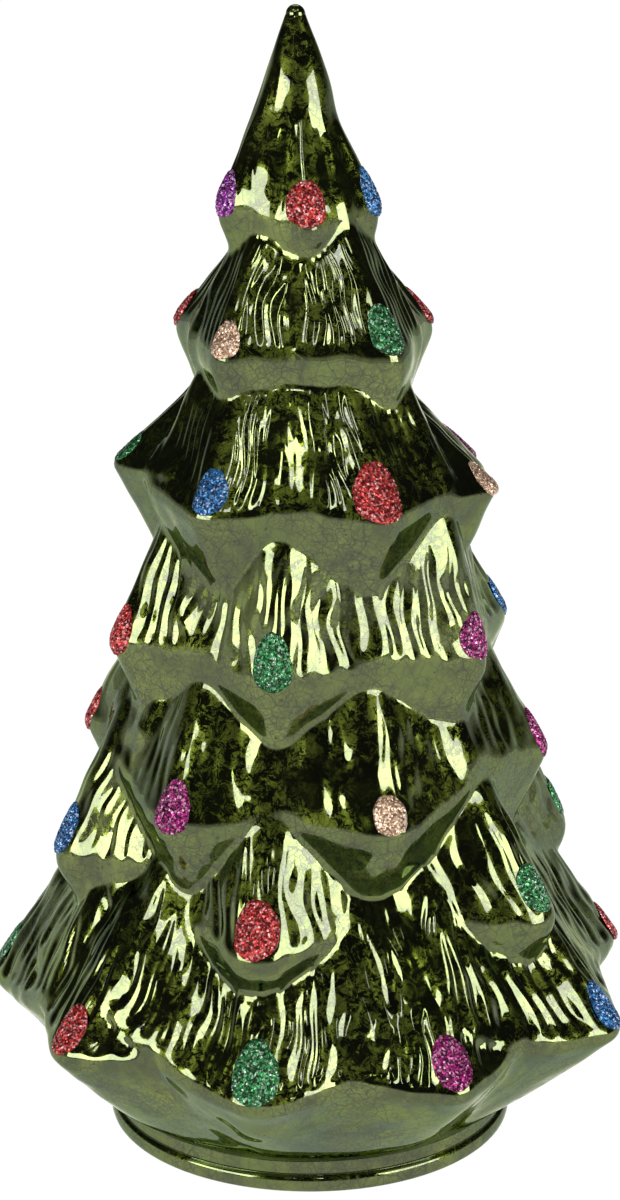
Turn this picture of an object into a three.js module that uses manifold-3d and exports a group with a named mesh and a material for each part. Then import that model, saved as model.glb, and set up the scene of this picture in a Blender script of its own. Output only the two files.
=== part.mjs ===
// A tabletop Christmas tree of blown glass with a battery light inside.
// Millimetres, +Z up. The origin is the centre of the footprint, on the table.
// An azimuth of 0 faces the viewer (-Y) and grows towards +X.
import * as THREE from "three";
import { mergeVertices } from "three/addons/utils/BufferGeometryUtils.js";
import Module from "manifold-3d";

const wasm = await Module();
wasm.setup();

// Driving dimensions
const fit = 0.3; // gap kept between two pieces that touch
const treeHeight = 280;
const tipLean = -3.4; // how far the hand-blown tip leans along X
const glassWall = 2.2;
const neckTop = 9; // height of the hem, where the branches begin
const hemFlare = 0.85; // under 1, the hem leaves the neck steeply and then levels
const rimLift = 1; // the glass rim stands this far above the table
const rimHeight = 4.2;
const rimBead = 0.9; // how far the beaded rim stands out
const pipRadius = 2.3; // the closed tip of the glass
const spireSlope = 0.37; // radius gained per millimetre down the spire
const crownRadius = 9.5; // the spire grows no wider than this
const footCount = 3;
const footRadius = 4;
const footHeight = 1.7;
const footInset = 1; // from the edge of the cover
const coverThickness = 2;
const housingWall = 2;
const sealWidth = 1.2;
const sealHeight = 4;
const cellRadius = 5.25; // AAA cell
const cellLength = 44.5;
const cellGap = 0.7; // between two cells
const cellRoom = 0.6; // above and below a cell
const nubRadius = 1.9;
const nubLength = 0.9;
const springRadius = 2.6;
const springWire = 0.35;
const springLength = 3.6;
const springTurns = 3;
const plateThickness = 0.5;
const plateWidth = 7.4;
const tabWidth = 2.6;
const bayWall = 1.4;
const screwInset = 3; // between a cover screw's boss and the housing's wall
const screwShank = 1.3;
const screwHead = 2.6;
const screwHeadHeight = 1;
const screwLength = 8;
const bossRadius = 3;
const boardSize = [24, 12];
const boardThickness = 1.6;
const boardGap = 1.65; // between the board and the battery bay
const boardRoom = 1.76; // between the board's corners and the housing's wall
const switchBodySize = [14, 6];
const switchBodyHeight = 5.5;
const switchTravel = 4.8;
const knobSize = [3.2, 2.6];
const knobBase = [5, 4.2];
const knobBaseHeight = 1.3;
const stemRadius = 5;
const stemWall = 1.6;
const stemTop = 150;
const socketWall = 1.7;
const socketHeight = 6;
const ledRadius = 2.5;
const ledTailRadius = 2.3;
const ledTail = 1.6;
const ledFlange = 2.9;
const ledFlangeHeight = 1;
const ledLength = 8;
const sideLeds = [
  { azimuth: 60, height: 62 },
  { azimuth: 240, height: 106 },
];
const wireRadius = 0.6;
const wireSpread = 2.4;
const dotRadius = 4.8;
const dotStretch = 1.25; // height of a dot over its width
const dotThickness = 0.7;

// Each tier of branches: where its tips lie, how its surface falls away above and under them,
// how far its lip lifts between two tips, how wide a branch's facets are (in degrees),
// and how its ridge (nose) and its lip (soft) are rounded.
// A tip is its azimuth, then its own rise, stretch and steepness where it differs from the tier.
// The dots are the colours of its tips' glitter, on the side that faces the viewer.
// The lowest tier has no slope of its own under its tips. It runs down to the neck.
const tiers = [
  {
    dots: ["magenta", "red", "blue"],
    height: 231.5, lift: 0, reach: 20.4, flank: 0.49, under: 0.33, facet: 36, nose: 4, soft: 4,
    tips: [[-66, 2.5, 0], [5, 0, -0.5], [78, 1, -1.5], [145, 0, -1.5], [217, 2.5, 1.5]],
  },
  {
    dots: ["red", "gold", "green", "red"],
    height: 201.5, lift: 1, reach: 33.9, flank: 0.83, under: 0.42, facet: 36, nose: 5, soft: 4.5,
    tips: [
      [-106, 2.5, -2.5], [-34.5, 0, 0, 0.8], [39.5, 0, 1, 0.8],
      [110, 1.5, -1, 1.05], [182, 0, 0, 0.9],
    ],
  },
  {
    dots: ["green", "blue", "red", "gold"],
    height: 167.5, lift: 2.5, reach: 48.7, flank: 1.07, under: 0.48, facet: 31, nose: 5, soft: 2.5,
    tips: [
      [-86, 4, -3], [-29.5, 0, -1, 0.62], [23, 0, -1, 0.62], [73, 0, -1.5],
      [124, -2, 1], [176, 0, 0, 0.9], [226],
    ],
  },
  {
    dots: ["red", "green", "magenta", "blue"],
    height: 129, lift: 3, reach: 51.2, flank: 0.49, under: 0.4, facet: 34.5, nose: 6, soft: 3,
    tips: [
      [-67, 1.5, -1], [-9.5, -0.5, -1.5, 0.55], [54.5, 0, -0.5, 0.55], [108.5, -1, 0.5, 1.16],
      [170], [232, 0.5, 0.5],
    ],
  },
  {
    dots: [null, "magenta", "gold", "magenta"],
    height: 94, lift: 6, reach: 58.6, flank: 0.53, under: 0.46, facet: 34, nose: 7, soft: 3,
    tips: [[-95, 8.5, -3.5, 0.95], [-34.5], [20], [89, 3.5, 0], [148], [207]],
  },
  {
    dots: ["blue", "red", "green", "green"],
    height: 67, lift: 9, reach: 67.7, flank: 0.43, under: 0.49, facet: 49, nose: 17, soft: 4,
    tips: [
      [-76, 7.5, -3.5, 1.1], [-11, 0, 0.7, 1.4], [57, -1, 1.5, 1.4], [109, 1.5, 1.5, 1.1],
      [170, 0, 0, 1.2], [228, 0, 0, 1.2],
    ],
  },
  {
    dots: ["green", "red", "green", "magenta", "blue", "red"],
    height: 37, lift: 10, reach: 80.9, flank: 0.75, under: 0, facet: 32, nose: 7, soft: 4,
    tips: [
      [-100, -6, 2, 0.85], [-49.5, 0, -1.5], [-9.5, 0, 0, 0.95], [26, 0, 0, 1.1], [65.5, -1, 2],
      [103, 2, 0, 0.9], [142, -1.5, -1.5], [181], [221, 1, -3],
    ],
  },
];
const dotRise = 6; // a glitter dot sits this far above its branch's widest point
const branchRise = 30; // above its lip a branch slopes evenly this far, and then curls inwards
const branchCurl = 0.02;
const creaseBlend = 2; // rounding of the creases, in millimetres. They fade out at the neck.
const tierBlend = 1.2;
const crownBlend = 4;

// Grid of the glass
const glassColumns = 60;
const noseRows = [-7, -2, 2, 7]; // rows placed about each tier's widest height
const rowSpacing = 9;
const innerColumns = 36;
const innerRows = 26;

const palette = {
  red: 0xb3202a, magenta: 0xa01a6e, blue: 0x1f5fae, green: 0x1f7a45, gold: 0xc79a6b,
};

// Places worked out from the driving dimensions
const coverBottom = footHeight + fit;
const coverTop = coverBottom + coverThickness;
const housingBottom = coverTop + fit;
const housingTop = housingBottom + 2 * (cellRadius + cellRoom) + housingWall;
const plateBottom = housingTop - housingWall;
const cellAxis = (housingBottom + plateBottom) / 2;
const nubEnd = (cellLength + springLength + 2 * fit) / 2;
const springStart = nubEnd - cellLength - fit;
const plateInner = nubEnd + fit;
const plateOuter = plateInner + plateThickness;
const bayEnd = plateOuter + fit;
const cellPitch = 2 * cellRadius + cellGap;
const baySide = cellPitch + cellRadius + fit + 0.1;
const bayOuter = [baySide + bayWall, bayEnd + bayWall];
const doorHalf = [baySide + 1, bayEnd + 1];
const doorScrewY = -(bayOuter[1] + bossRadius + 1.6);
const boardCentreY = bayOuter[1] + boardGap + boardSize[1] / 2;
const boardReach = Math.hypot(boardSize[0] / 2, boardCentreY + boardSize[1] / 2);
const housingRadius = boardReach + boardRoom + housingWall;
const screwCircle = housingRadius - housingWall - bossRadius - screwInset;
const footCircle = housingRadius - footInset - footRadius;
const boardBottom = housingBottom + switchBodyHeight + fit;
const boardTop = boardBottom + boardThickness;
const tabBottom = boardTop + fit;
const stemBottom = housingTop + fit;
const neckInner = housingRadius + 2 * fit + sealWidth;
const neckRadius = neckInner + glassWall;
const sealTop = neckTop;
const sealBottom = sealTop - sealHeight;
const spireTop = treeHeight - pipRadius;
const wireHoleY = boardCentreY - boardSize[1] / 2 + 1.8;

const radians = THREE.MathUtils.degToRad;

// Mesh helpers
function box(x0, x1, y0, y1, z0, z1) {
  return new THREE.BoxGeometry(x1 - x0, y1 - y0, z1 - z0).translate(
    (x0 + x1) / 2, (y0 + y1) / 2, (z0 + z1) / 2,
  );
}

function cylinder(radius, z0, z1, x = 0, y = 0, sides = 24) {
  return new THREE.CylinderGeometry(radius, radius, z1 - z0, sides)
    .rotateX(Math.PI / 2)
    .translate(x, y, (z0 + z1) / 2);
}

// A profile of [radius, height] pairs turned about Z. It runs from the bottom up on its outside.
function turned(profile, sides = 48) {
  const points = profile.map(([r, z]) => new THREE.Vector2(r, z));
  return new THREE.LatheGeometry(points, sides).rotateX(Math.PI / 2);
}

function solid(geometry) {
  const plain = geometry.index ? geometry.toNonIndexed() : geometry.clone();
  plain.deleteAttribute("normal");
  plain.deleteAttribute("uv");
  const merged = mergeVertices(plain, 1e-3);
  return new wasm.Manifold(
    new wasm.Mesh({
      numProp: 3,
      vertProperties: merged.attributes.position.array,
      triVerts: new Uint32Array(merged.index.array),
    }),
  );
}

function surfaceOf(manifold) {
  const mesh = manifold.getMesh();
  const positions = new Float32Array(mesh.numVert * 3);
  for (let i = 0; i < mesh.numVert; i++)
    positions.set(mesh.vertProperties.subarray(i * mesh.numProp, i * mesh.numProp + 3), i * 3);
  const geometry = new THREE.BufferGeometry();
  geometry.setAttribute("position", new THREE.BufferAttribute(positions, 3));
  geometry.setIndex(new THREE.BufferAttribute(new Uint32Array(mesh.triVerts), 1));
  geometry.computeVertexNormals();
  return geometry;
}

function joined(...geometries) {
  return geometries.map(solid).reduce((a, b) => a.add(b));
}

function cut(body, ...geometries) {
  return geometries.map(solid).reduce((a, b) => a.subtract(b), body);
}

// A round wire along a smooth curve through the points
function wire(points, radius, steps, sides = 6) {
  const section = new THREE.Shape();
  for (let i = 0; i < sides; i++) {
    const a = (2 * Math.PI * i) / sides;
    const [x, y] = [radius * Math.cos(a), radius * Math.sin(a)];
    if (i === 0) section.moveTo(x, y);
    else section.lineTo(x, y);
  }
  const path = new THREE.CatmullRomCurve3(points.map((p) => new THREE.Vector3(...p)));
  return new THREE.ExtrudeGeometry(section, { steps, extrudePath: path, curveSegments: 1 });
}

// The glass surface
function smoothMin(a, b, k) {
  const h = Math.max(k - Math.abs(a - b), 0) / k;
  return Math.min(a, b) - (h * h * k) / 4;
}

function smoothMax(a, b, k) {
  return -smoothMin(-a, -b, k);
}

function tipOf(tier, index) {
  const [azimuth, rise = 0, stretch = 0, steepness = 1] = tier.tips[index];
  return {
    azimuth, height: tier.height + rise, reach: tier.reach + stretch, flank: tier.flank * steepness,
  };
}

// Radius of one branch: a ridge that falls away above and below its tip, with a facet on each side.
function branchRadius(tier, tip, azimuth, z) {
  let turn = Math.abs(azimuth - tip.azimuth) % 360;
  turn = Math.min(turn, 360 - turn);
  const lip = tip.height + tier.lift * Math.min(turn / tier.facet, 1) ** 2;
  const sharp = tip.reach + (tier.nose + tier.soft) / 4;
  const curl = branchCurl * Math.max(z - lip - branchRise, 0) ** 2;
  const above = sharp - tip.flank * (z - lip) - curl;
  if (above <= 0 || turn > 75) return 0;
  const facet = Math.cos(radians(tier.facet));
  const past = Math.cos(radians(turn - tier.facet));
  const near = turn < tier.facet ? facet / past : facet * past ** 4;
  const far = facet / Math.max(Math.cos(radians(turn + tier.facet)), 0.05);
  const rounded = (ridge) => smoothMin(ridge * near, ridge * far, tier.nose);
  if (tier.under > 0)
    return Math.max(rounded(smoothMin(above, sharp + tier.under * (z - lip), tier.soft)), 0);
  const rise = Math.max((z - neckTop) / (lip - neckTop), 0) ** hemFlare;
  return smoothMin(rounded(above), neckRadius + (rounded(sharp) - neckRadius) * rise, tier.soft);
}

function tierRadius(tier, azimuth, z) {
  const blend = creaseBlend * THREE.MathUtils.clamp((z - neckTop) / 12, 0.02, 1);
  return tier.tips
    .map((_, i) => branchRadius(tier, tipOf(tier, i), azimuth, z))
    .reduce((a, b) => smoothMax(a, b, blend));
}

function treeRadius(azimuth, z) {
  const spire = smoothMin(pipRadius + spireSlope * (spireTop - z), crownRadius, crownBlend);
  return tiers
    .map((tier) => tierRadius(tier, azimuth, z))
    .reduce((a, b) => smoothMax(a, b, tierBlend), spire);
}

function leanAt(z) {
  return tipLean * (z / treeHeight) ** 2;
}

// A closed skin over rings of equal point count, listed from the bottom up
function skinOver(rings) {
  const positions = rings.flat().flatMap((p) => [p.x, p.y, p.z]);
  const n = rings[0].length;
  const triangles = [];
  for (let i = 0; i + 1 < rings.length; i++)
    for (let j = 0; j < n; j++) {
      const [a, b] = [i * n + j, i * n + ((j + 1) % n)];
      triangles.push(a, b, b + n, a, b + n, a + n);
    }
  const last = (rings.length - 1) * n;
  for (let j = 1; j + 1 < n; j++) {
    triangles.push(0, j + 1, j);
    triangles.push(last, last + j, last + j + 1);
  }
  const geometry = new THREE.BufferGeometry();
  geometry.setAttribute("position", new THREE.Float32BufferAttribute(positions, 3));
  geometry.setIndex(triangles);
  return geometry;
}

function ring(radiusAt, z, columns, lean = 0) {
  const points = [];
  for (let j = 0; j < columns; j++) {
    const azimuth = (360 * j) / columns;
    const a = radians(azimuth);
    const r = radiusAt(azimuth);
    points.push(new THREE.Vector3(r * Math.sin(a) + lean, -r * Math.cos(a), z));
  }
  return points;
}

// Heights of the rows of the grid, closer together where a tier is widest
function rowHeights() {
  const marks = [...tiers].reverse().flatMap(({ height }) => noseRows.map((d) => height + d));
  const heights = [neckTop];
  for (const mark of [...marks, spireTop]) {
    const from = heights.at(-1);
    const count = Math.max(1, Math.round((mark - from) / rowSpacing));
    for (let i = 1; i <= count; i++) heights.push(from + ((mark - from) * i) / count);
  }
  return heights;
}

// Outside of the glass: beaded rim, neck, seven tiers of branches, spire and pip
function glassOutside(grow = 0) {
  const beadRadius = neckRadius + rimBead;
  const rimTop = rimLift + rimHeight;
  const rings = [
    [neckRadius - 0.6, rimLift], [beadRadius, rimLift + 1.2], [beadRadius, rimTop - 1.2],
    [neckRadius - 0.2, rimTop], [neckRadius, rimTop + 0.8], [neckRadius, neckTop - 1],
  ].map(([r, z]) => ring(() => r + grow, z, glassColumns));
  for (const z of rowHeights()) {
    const least = z === neckTop ? neckRadius : 0;
    rings.push(ring((azimuth) => Math.max(treeRadius(azimuth, z), least) + grow, z, glassColumns, leanAt(z)));
  }
  for (const share of [0.45, 0.8, 0.98]) {
    const z = spireTop + pipRadius * share;
    const r = pipRadius * Math.sqrt(1 - share * share);
    rings.push(ring(() => r + grow, z, glassColumns, leanAt(z)));
  }
  return skinOver(rings);
}

// Radius of the hollow: a wall inside the least radius that the glass has near the point
function hollowRadius(azimuth, z, columnStep, rowStep) {
  let least = Infinity;
  for (const turn of [-0.5, 0, 0.5])
    for (const rise of [-0.6, 0, 0.6])
      least = Math.min(least, treeRadius(azimuth + turn * columnStep, z + rise * rowStep));
  return least - glassWall;
}

function glassInside() {
  const hollowTop = treeHeight - 32;
  const columnStep = 360 / innerColumns;
  const rowStep = (hollowTop - neckTop) / innerRows;
  const rings = [0, neckTop].map((z) => ring(() => neckInner, z, innerColumns));
  for (let i = 1; i <= innerRows; i++) {
    const z = neckTop + rowStep * i;
    rings.push(ring((azimuth) => hollowRadius(azimuth, z, columnStep, rowStep), z, innerColumns, leanAt(z)));
  }
  return skinOver(rings);
}

function glassTree() {
  return surfaceOf(solid(glassOutside()).subtract(solid(glassInside())));
}

// A raised pad of glitter that lies on its branch's nose
const grownGlass = solid(glassOutside(fit));
const glitterSkin = solid(glassOutside(fit + dotThickness)).subtract(grownGlass);

function glitterDot(tier, tip) {
  const centre = tip.height + dotRise;
  const punch = new THREE.CylinderGeometry(dotRadius, dotRadius, 14, 8)
    .scale(1, 1, dotStretch)
    .translate(0, -treeRadius(tip.azimuth, centre), 0)
    .rotateZ(radians(tip.azimuth))
    .translate(leanAt(centre), 0, centre);
  return surfaceOf(glitterSkin.intersect(solid(punch)));
}

// Base pieces
function sealRing() {
  const outer = neckInner - fit;
  const inner = outer - sealWidth;
  return turned([
    [inner, sealBottom], [outer, sealBottom], [outer, sealTop], [inner, sealTop],
    [inner, sealBottom],
  ], innerColumns);
}

function coverScrewPlaces() {
  return [0, 120, 240].map((a) => [
    screwCircle * Math.cos(radians(a)), screwCircle * Math.sin(radians(a)),
  ]);
}

function baseHousing() {
  const shell = cut(
    solid(cylinder(housingRadius, housingBottom, housingTop, 0, 0, 48)),
    cylinder(housingRadius - housingWall, housingBottom - 1, plateBottom, 0, 0, 48),
  );
  const bay = cut(
    solid(box(-bayOuter[0], bayOuter[0], -bayOuter[1], bayOuter[1], housingBottom, plateBottom + 0.5)),
    box(-baySide, baySide, -bayEnd, bayEnd, housingBottom - 1, plateBottom),
  );
  const bosses = [...coverScrewPlaces(), [0, doorScrewY]].map(([x, y]) =>
    cut(
      solid(cylinder(bossRadius, housingBottom, plateBottom + 0.5, x, y, 12)),
      cylinder(screwShank + fit, housingBottom - 1, coverBottom + screwLength + 1.5, x, y, 10),
    ),
  );
  const socketRadius = stemRadius + fit;
  const socket = cut(
    solid(cylinder(socketRadius + socketWall, housingTop - 0.5, housingTop + socketHeight)),
    cylinder(socketRadius, housingTop, housingTop + socketHeight + 1),
    box(-wireSpread - 1.2, wireSpread + 1.2, 0, stemRadius * 2, housingTop, housingTop + socketHeight + 1),
  );
  const whole = [bay, ...bosses, socket].reduce((a, b) => a.add(b), shell);
  const tabHole = (x, side) =>
    box(
      x - tabWidth / 2 - fit, x + tabWidth / 2 + fit,
      side > 0 ? bayEnd - 1 : -bayOuter[1] - 1, side > 0 ? bayOuter[1] + 1 : -bayEnd + 1,
      tabBottom - fit, tabBottom + plateThickness + fit,
    );
  const wireHoles = [-wireSpread, wireSpread].map((x) =>
    cylinder(wireRadius + 0.8, plateBottom - 1, housingTop + 1, x, wireHoleY, 12),
  );
  return surfaceOf(cut(whole, tabHole(-cellPitch, 1), tabHole(cellPitch, -1), ...wireHoles));
}

function doorOutline(grow) {
  const tab = bossRadius + 1 + grow;
  return [
    [-doorHalf[0] - grow, doorHalf[0] + grow, -doorHalf[1] - grow, doorHalf[1] + grow],
    [-tab, tab, doorScrewY - tab, 0],
  ];
}

function bottomCover() {
  const plate = solid(cylinder(housingRadius, coverBottom, coverTop, 0, 0, 48));
  const door = doorOutline(fit).map(([x0, x1, y0, y1]) =>
    box(x0, x1, y0, y1, coverBottom - 1, coverTop + 1),
  );
  const slotX = (knobSize[0] + switchTravel) / 2 + fit;
  const slotY = knobSize[1] / 2 + fit;
  const slot = box(
    -slotX, slotX, boardCentreY - slotY, boardCentreY + slotY, coverBottom - 1, coverTop + 1,
  );
  const holes = coverScrewPlaces().flatMap(([x, y]) => [
    cylinder(screwShank + fit, coverBottom - 1, coverTop + 1, x, y, 12),
    cylinder(screwHead + fit, coverBottom - 1, coverBottom + screwHeadHeight + fit, x, y, 16),
  ]);
  return surfaceOf(cut(plate, ...door, slot, ...holes));
}

function batteryDoor() {
  const plates = doorOutline(0).map(([x0, x1, y0, y1]) => box(x0, x1, y0, y1, coverBottom, coverTop));
  const grooves = [-1, 0, 1].map((i) =>
    box(-7, 7, doorHalf[1] - 8 + i * 2.4, doorHalf[1] - 6.8 + i * 2.4, coverBottom - 1, coverBottom + 0.6),
  );
  return surfaceOf(
    cut(
      joined(...plates),
      ...grooves,
      cylinder(screwShank + fit, coverBottom - 1, coverTop + 1, 0, doorScrewY, 12),
      cylinder(screwHead + fit, coverBottom - 1, coverBottom + screwHeadHeight + fit, 0, doorScrewY, 16),
    ),
  );
}

// A screw standing on its head at the origin, with a cross recess
function screw() {
  const body = joined(
    cylinder(screwHead, 0, screwHeadHeight, 0, 0, 14),
    cylinder(screwShank, screwHeadHeight / 2, screwLength, 0, 0, 8),
  );
  const [arm, half, deep] = [1.7, 0.3, 0.6];
  return surfaceOf(
    cut(body, box(-arm, arm, -half, half, -1, deep), box(-half, half, -arm, arm, -1, deep)),
  );
}

function foot() {
  return turned([
    [0, 0], [footRadius - 0.5, 0], [footRadius, 0.5], [footRadius, footHeight], [0, footHeight],
  ], 18);
}

// Cells and contacts
// A cell lying along Y about the origin of its own axis, with its nub towards +Y
function cell() {
  const shoulder = nubEnd - nubLength;
  return turned([
    [0, nubEnd - cellLength], [cellRadius - 0.4, nubEnd - cellLength],
    [cellRadius, nubEnd - cellLength + 0.4], [cellRadius, shoulder - 0.4],
    [cellRadius - 0.4, shoulder], [nubRadius, shoulder], [nubRadius, nubEnd], [0, nubEnd],
  ], 18).rotateX(-Math.PI / 2);
}

// A battery spring between a cell's flat end and its contact plate, along -Y
function contactSpring() {
  const pointsPerTurn = 7;
  const points = [];
  const length = springLength - 2 * springWire - fit;
  for (let i = 0; i <= springTurns * pointsPerTurn; i++) {
    const a = (2 * Math.PI * i) / pointsPerTurn;
    const share = i / (springTurns * pointsPerTurn);
    points.push([
      springRadius * Math.cos(a), springStart - springWire - length * share,
      springRadius * Math.sin(a),
    ]);
  }
  return wire(points, springWire, springTurns * pointsPerTurn, 5);
}

// A contact plate behind one or two cells at an end of the bay, with a solder tab if it has one
function contactPlate(x0, x1, side, tabX = null) {
  const [near, far] = side > 0 ? [plateInner, plateOuter] : [-plateOuter, -plateInner];
  const half = plateWidth / 2;
  const plate = box(x0 - half, x1 + half, near, far, cellAxis - half, cellAxis + half);
  if (tabX === null) return plate;
  const tabEnd = boardCentreY - boardSize[1] / 2 + 1.2;
  const [tabNear, tabFar] = side > 0 ? [near, tabEnd] : [-bayOuter[1] - 1.4, far];
  const tab = box(
    tabX - tabWidth / 2, tabX + tabWidth / 2, tabNear, tabFar, tabBottom, tabBottom + plateThickness,
  );
  return surfaceOf(joined(plate, tab));
}

// Switch and board
function circuitBoard() {
  const [halfX, halfY] = boardSize.map((s) => s / 2);
  return box(
    -halfX, halfX, boardCentreY - halfY, boardCentreY + halfY, boardBottom, boardTop,
  );
}

function switchBody() {
  const [halfX, halfY] = switchBodySize.map((s) => s / 2);
  const neckX = (knobSize[0] + switchTravel) / 2 + fit;
  const roomX = (knobBase[0] + switchTravel) / 2 + fit;
  const roomBottom = housingBottom + 1.3;
  const neckY = knobSize[1] / 2 + fit;
  const roomY = knobBase[1] / 2 + fit;
  return surfaceOf(
    cut(
      solid(box(-halfX, halfX, -halfY, halfY, housingBottom, housingBottom + switchBodyHeight)),
      box(-neckX, neckX, -neckY, neckY, housingBottom - 1, roomBottom + 0.1),
      box(-roomX, roomX, -roomY, roomY, roomBottom, roomBottom + knobBaseHeight + 2 * fit),
    ),
  ).translate(0, boardCentreY, 0);
}

function switchSlider() {
  const baseBottom = housingBottom + 1.3 + fit;
  const knobBottom = coverBottom - 1;
  return surfaceOf(
    joined(
      box(-knobSize[0] / 2, knobSize[0] / 2, -knobSize[1] / 2, knobSize[1] / 2, knobBottom, baseBottom + 0.2),
      box(-knobBase[0] / 2, knobBase[0] / 2, -knobBase[1] / 2, knobBase[1] / 2, baseBottom, baseBottom + knobBaseHeight),
    ),
  );
}

// Light stem, its lamps and its wires
function lightStem() {
  const bore = stemRadius - stemWall;
  const ledHoles = sideLeds.map(({ azimuth, height }) =>
    cylinder(ledTailRadius + fit, 0, stemRadius * 2, 0, 0, 16)
      .rotateX(Math.PI / 2)
      .rotateZ(radians(azimuth))
      .translate(0, 0, height),
  );
  return surfaceOf(
    cut(
      solid(cylinder(stemRadius, stemBottom, stemTop)),
      cylinder(bore, stemBottom - 1, stemTop - stemWall),
      cylinder(ledTailRadius + fit, stemTop - stemWall - 1, stemTop + 1, 0, 0, 16),
      box(-wireSpread - 0.95, wireSpread + 0.95, 0, stemRadius + 1, stemBottom - 1, stemBottom + 4.4),
      ...ledHoles,
    ),
  );
}

// A 5 mm lamp along +Z whose flange's back face is at the origin
function led() {
  const profile = [
    [0, -ledTail], [ledTailRadius, -ledTail], [ledTailRadius, 0], [ledFlange, 0],
    [ledFlange, ledFlangeHeight], [ledRadius, ledFlangeHeight],
  ];
  const domeBase = ledLength - ledTail - ledRadius;
  for (let i = 0; i < 4; i++) {
    const a = (Math.PI / 2) * (i / 4);
    profile.push([ledRadius * Math.cos(a), domeBase + ledRadius * Math.sin(a)]);
  }
  profile.push([0, domeBase + ledRadius]);
  return turned(profile, 14);
}

function ledWire(x) {
  const run = stemBottom + 1.3;
  const wireTop = stemTop - stemWall - 0.4;
  return wire([
    [x, wireHoleY, boardTop + fit], [x, wireHoleY, plateBottom], [x, wireHoleY, housingTop + 0.5],
    [x, wireHoleY - 1.5, run], [x, wireHoleY - 4, run], [x, 9, run], [x, 3.6, run],
    [x, 0.9, run + 2.4], [x, 0, run + 7], [x, 0, stemTop * 0.4], [x, 0, wireTop],
  ], wireRadius, 30);
}

// The negative lead runs beside the bay, from the front contact to the board
function batteryLead() {
  const side = bayOuter[0] + 2 * wireRadius;
  const z = tabBottom + plateThickness / 2 + 0.6;
  const tabEnd = -bayOuter[1] - 1.4 - fit - wireRadius;
  return wire([
    [cellPitch, tabEnd, z], [cellPitch + 3, tabEnd - 0.4, z], [side - 0.6, tabEnd + 0.6, z],
    [side, tabEnd + 5, z], [side, 0, z], [side, 24, z], [side - 0.6, 29, z],
    [boardSize[0] / 2 - 1, boardCentreY - 3.6, z], [boardSize[0] / 2 - 3.5, boardCentreY - 2.6, z],
  ], wireRadius, 26);
}

// Materials
const finish = (color, roughness, metalness) =>
  new THREE.MeshStandardMaterial({ color, roughness, metalness });
const mercuryGlass = finish(0x55682c, 0.12, 0.85);
const greenPlastic = finish(0x3d4a22, 0.45, 0);
const blackPlastic = finish(0x1c1d1b, 0.5, 0);
const whitePlastic = finish(0xe6e6df, 0.45, 0);
const rubber = finish(0x2a2a28, 0.9, 0);
const silicone = finish(0xd8dcd2, 0.6, 0);
const steel = finish(0xc9ccce, 0.3, 1);
const board = finish(0x1f5a34, 0.5, 0);
const cellSleeve = finish(0x6d7276, 0.35, 0.3);
const warmLens = finish(0xf3e3b4, 0.15, 0);
const redWire = finish(0xb02a20, 0.5, 0);
const blackWire = finish(0x171717, 0.5, 0);

function place(parent, name, geometry, material, [x, y, z] = [0, 0, 0]) {
  const mesh = new THREE.Mesh(geometry, material);
  mesh.name = name;
  mesh.position.set(x, y, z);
  parent.add(mesh);
  return mesh;
}

const assembly = new THREE.Group();

const glassGroup = new THREE.Group();
assembly.add(glassGroup);
place(glassGroup, "glass_tree", glassTree(), mercuryGlass);
tiers.forEach((tier, i) =>
  tier.dots.forEach((colour, j) => {
    if (colour === null) return;
    const name = `glitter_dot_${i + 1}${"abcdef"[j]}`;
    place(glassGroup, name, glitterDot(tier, tipOf(tier, j)), finish(palette[colour], 0.4, 0.5));
  }),
);

const baseGroup = new THREE.Group();
assembly.add(baseGroup);
place(baseGroup, "seal_ring", sealRing(), silicone);
place(baseGroup, "base_housing", baseHousing(), greenPlastic);
place(baseGroup, "bottom_cover", bottomCover(), blackPlastic);
place(baseGroup, "battery_door", batteryDoor(), blackPlastic);
place(baseGroup, "door_screw", screw(), steel, [0, doorScrewY, coverBottom + 0.1]);
coverScrewPlaces().forEach(([x, y], i) =>
  place(baseGroup, `cover_screw_${i + 1}`, screw(), steel, [x, y, coverBottom + 0.1]),
);
for (let i = 0; i < footCount; i++) {
  const a = radians(60 + (360 * i) / footCount);
  place(baseGroup, `rubber_foot_${i + 1}`, foot(), rubber, [
    footCircle * Math.cos(a), footCircle * Math.sin(a), 0,
  ]);
}

const batteryGroup = new THREE.Group();
batteryGroup.position.z = cellAxis;
assembly.add(batteryGroup);
[-1, 0, 1].forEach((column, i) => {
  const turn = column === 0 ? Math.PI : 0; // the middle cell lies the other way round
  place(batteryGroup, `battery_${i + 1}`, cell(), cellSleeve, [column * cellPitch, 0, 0])
    .rotation.z = turn;
  place(batteryGroup, `contact_spring_${i + 1}`, contactSpring(), steel, [column * cellPitch, 0, 0])
    .rotation.z = turn;
});
const contacts = new THREE.Group();
assembly.add(contacts);
place(contacts, "positive_contact", contactPlate(-cellPitch, -cellPitch, 1, -cellPitch), steel);
place(contacts, "negative_contact", contactPlate(cellPitch, cellPitch, -1, cellPitch), steel);
place(contacts, "front_link_contact", contactPlate(-cellPitch, 0, -1), steel);
place(contacts, "rear_link_contact", contactPlate(0, cellPitch, 1), steel);

const switchGroup = new THREE.Group();
assembly.add(switchGroup);
place(switchGroup, "circuit_board", circuitBoard(), board);
place(switchGroup, "switch_body", switchBody(), whitePlastic);
place(switchGroup, "switch_slider", switchSlider(), blackPlastic, [
  -switchTravel / 2, boardCentreY, 0,
]);

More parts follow.
